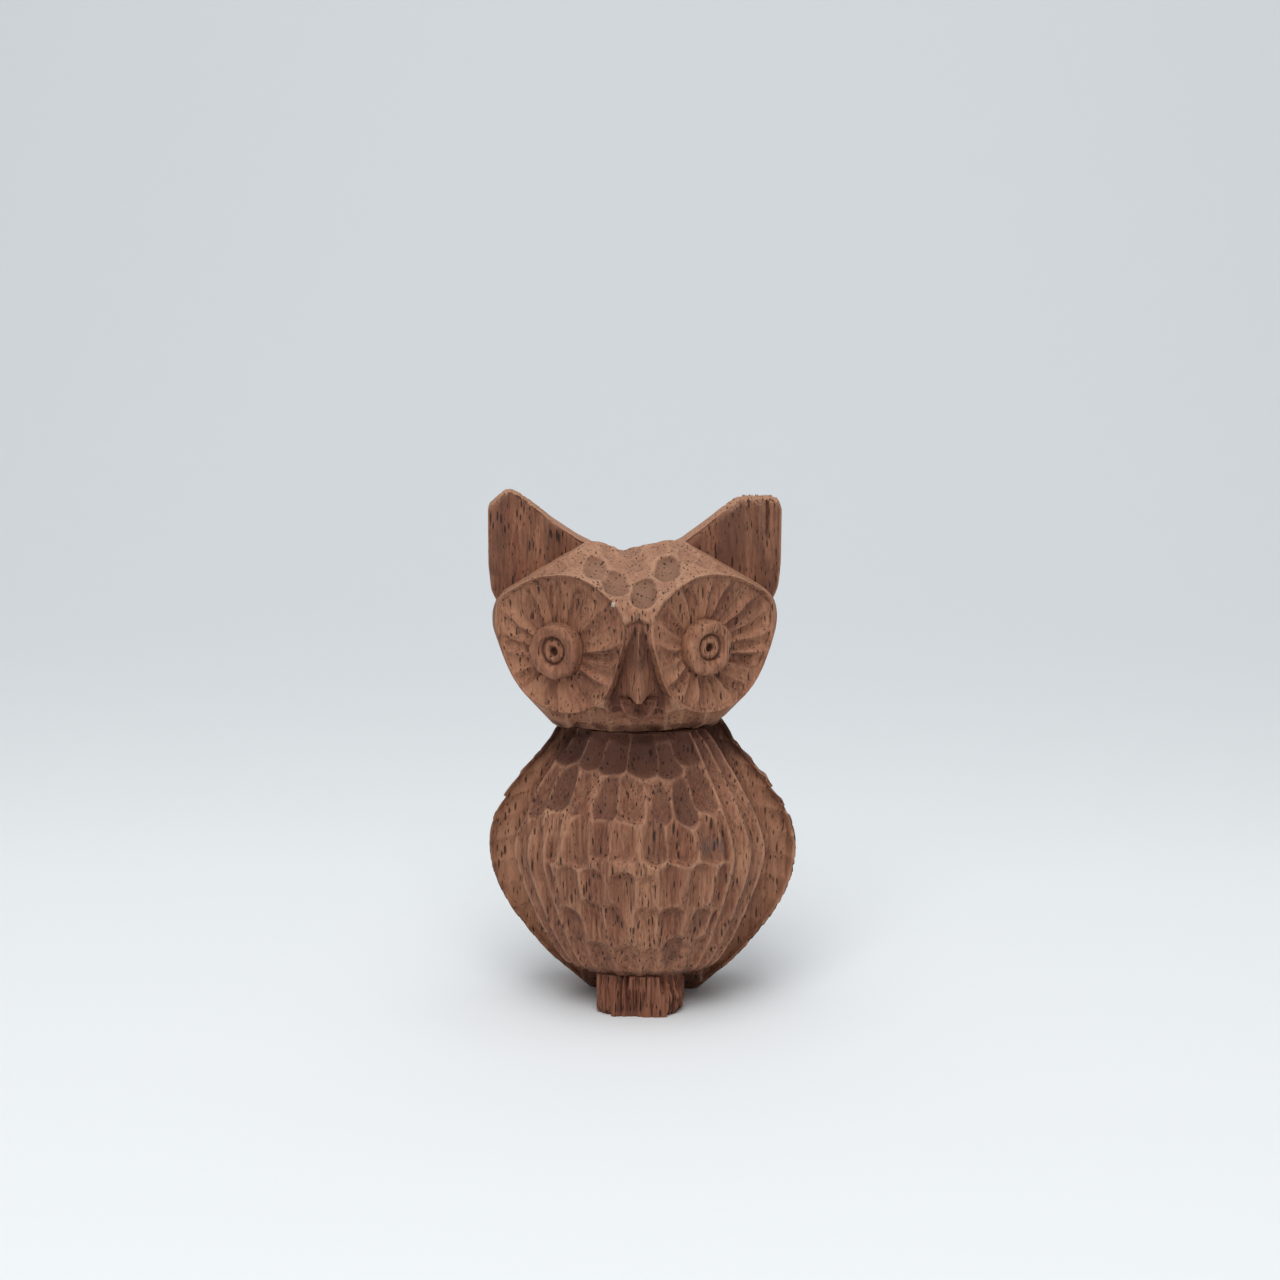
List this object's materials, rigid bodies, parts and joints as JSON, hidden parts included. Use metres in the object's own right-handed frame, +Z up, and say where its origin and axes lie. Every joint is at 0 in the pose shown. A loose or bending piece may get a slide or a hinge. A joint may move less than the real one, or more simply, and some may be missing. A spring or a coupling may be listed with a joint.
{
  "type": "carved wooden owl figurine",
  "caption": "Small gouge-carved hardwood owl with round fluted eye discs, pointed ear tufts, folded wings and a whittled foot block; stands on its foot and tail.",
  "frame": {"origin": "on the floor, at the centre of the figure's footprint box in X and Y", "axes": "+Z up; the owl looks along -Y; +X is the owl's own left-hand side"},
  "size_m": [0.0722, 0.0502, 0.12],
  "materials": {
    "carved_wood": "unvarnished open-pored hardwood with gouge marks, worn smooth on the ridges",
    "torn_wood": "the same wood, torn along the grain and darker"
  },
  "bodies": {
    "root": {"foot_block": "torn_wood", "breast": "carved_wood", "right_wing": "carved_wood", "left_wing": "carved_wood", "tail": "carved_wood", "head": "carved_wood", "right_face_disc": "carved_wood", "left_face_disc": "carved_wood", "right_eye": "carved_wood", "left_eye": "carved_wood", "beak": "carved_wood", "chin": "carved_wood", "right_ear": "carved_wood", "left_ear": "carved_wood"}
  },
  "joints": []
}
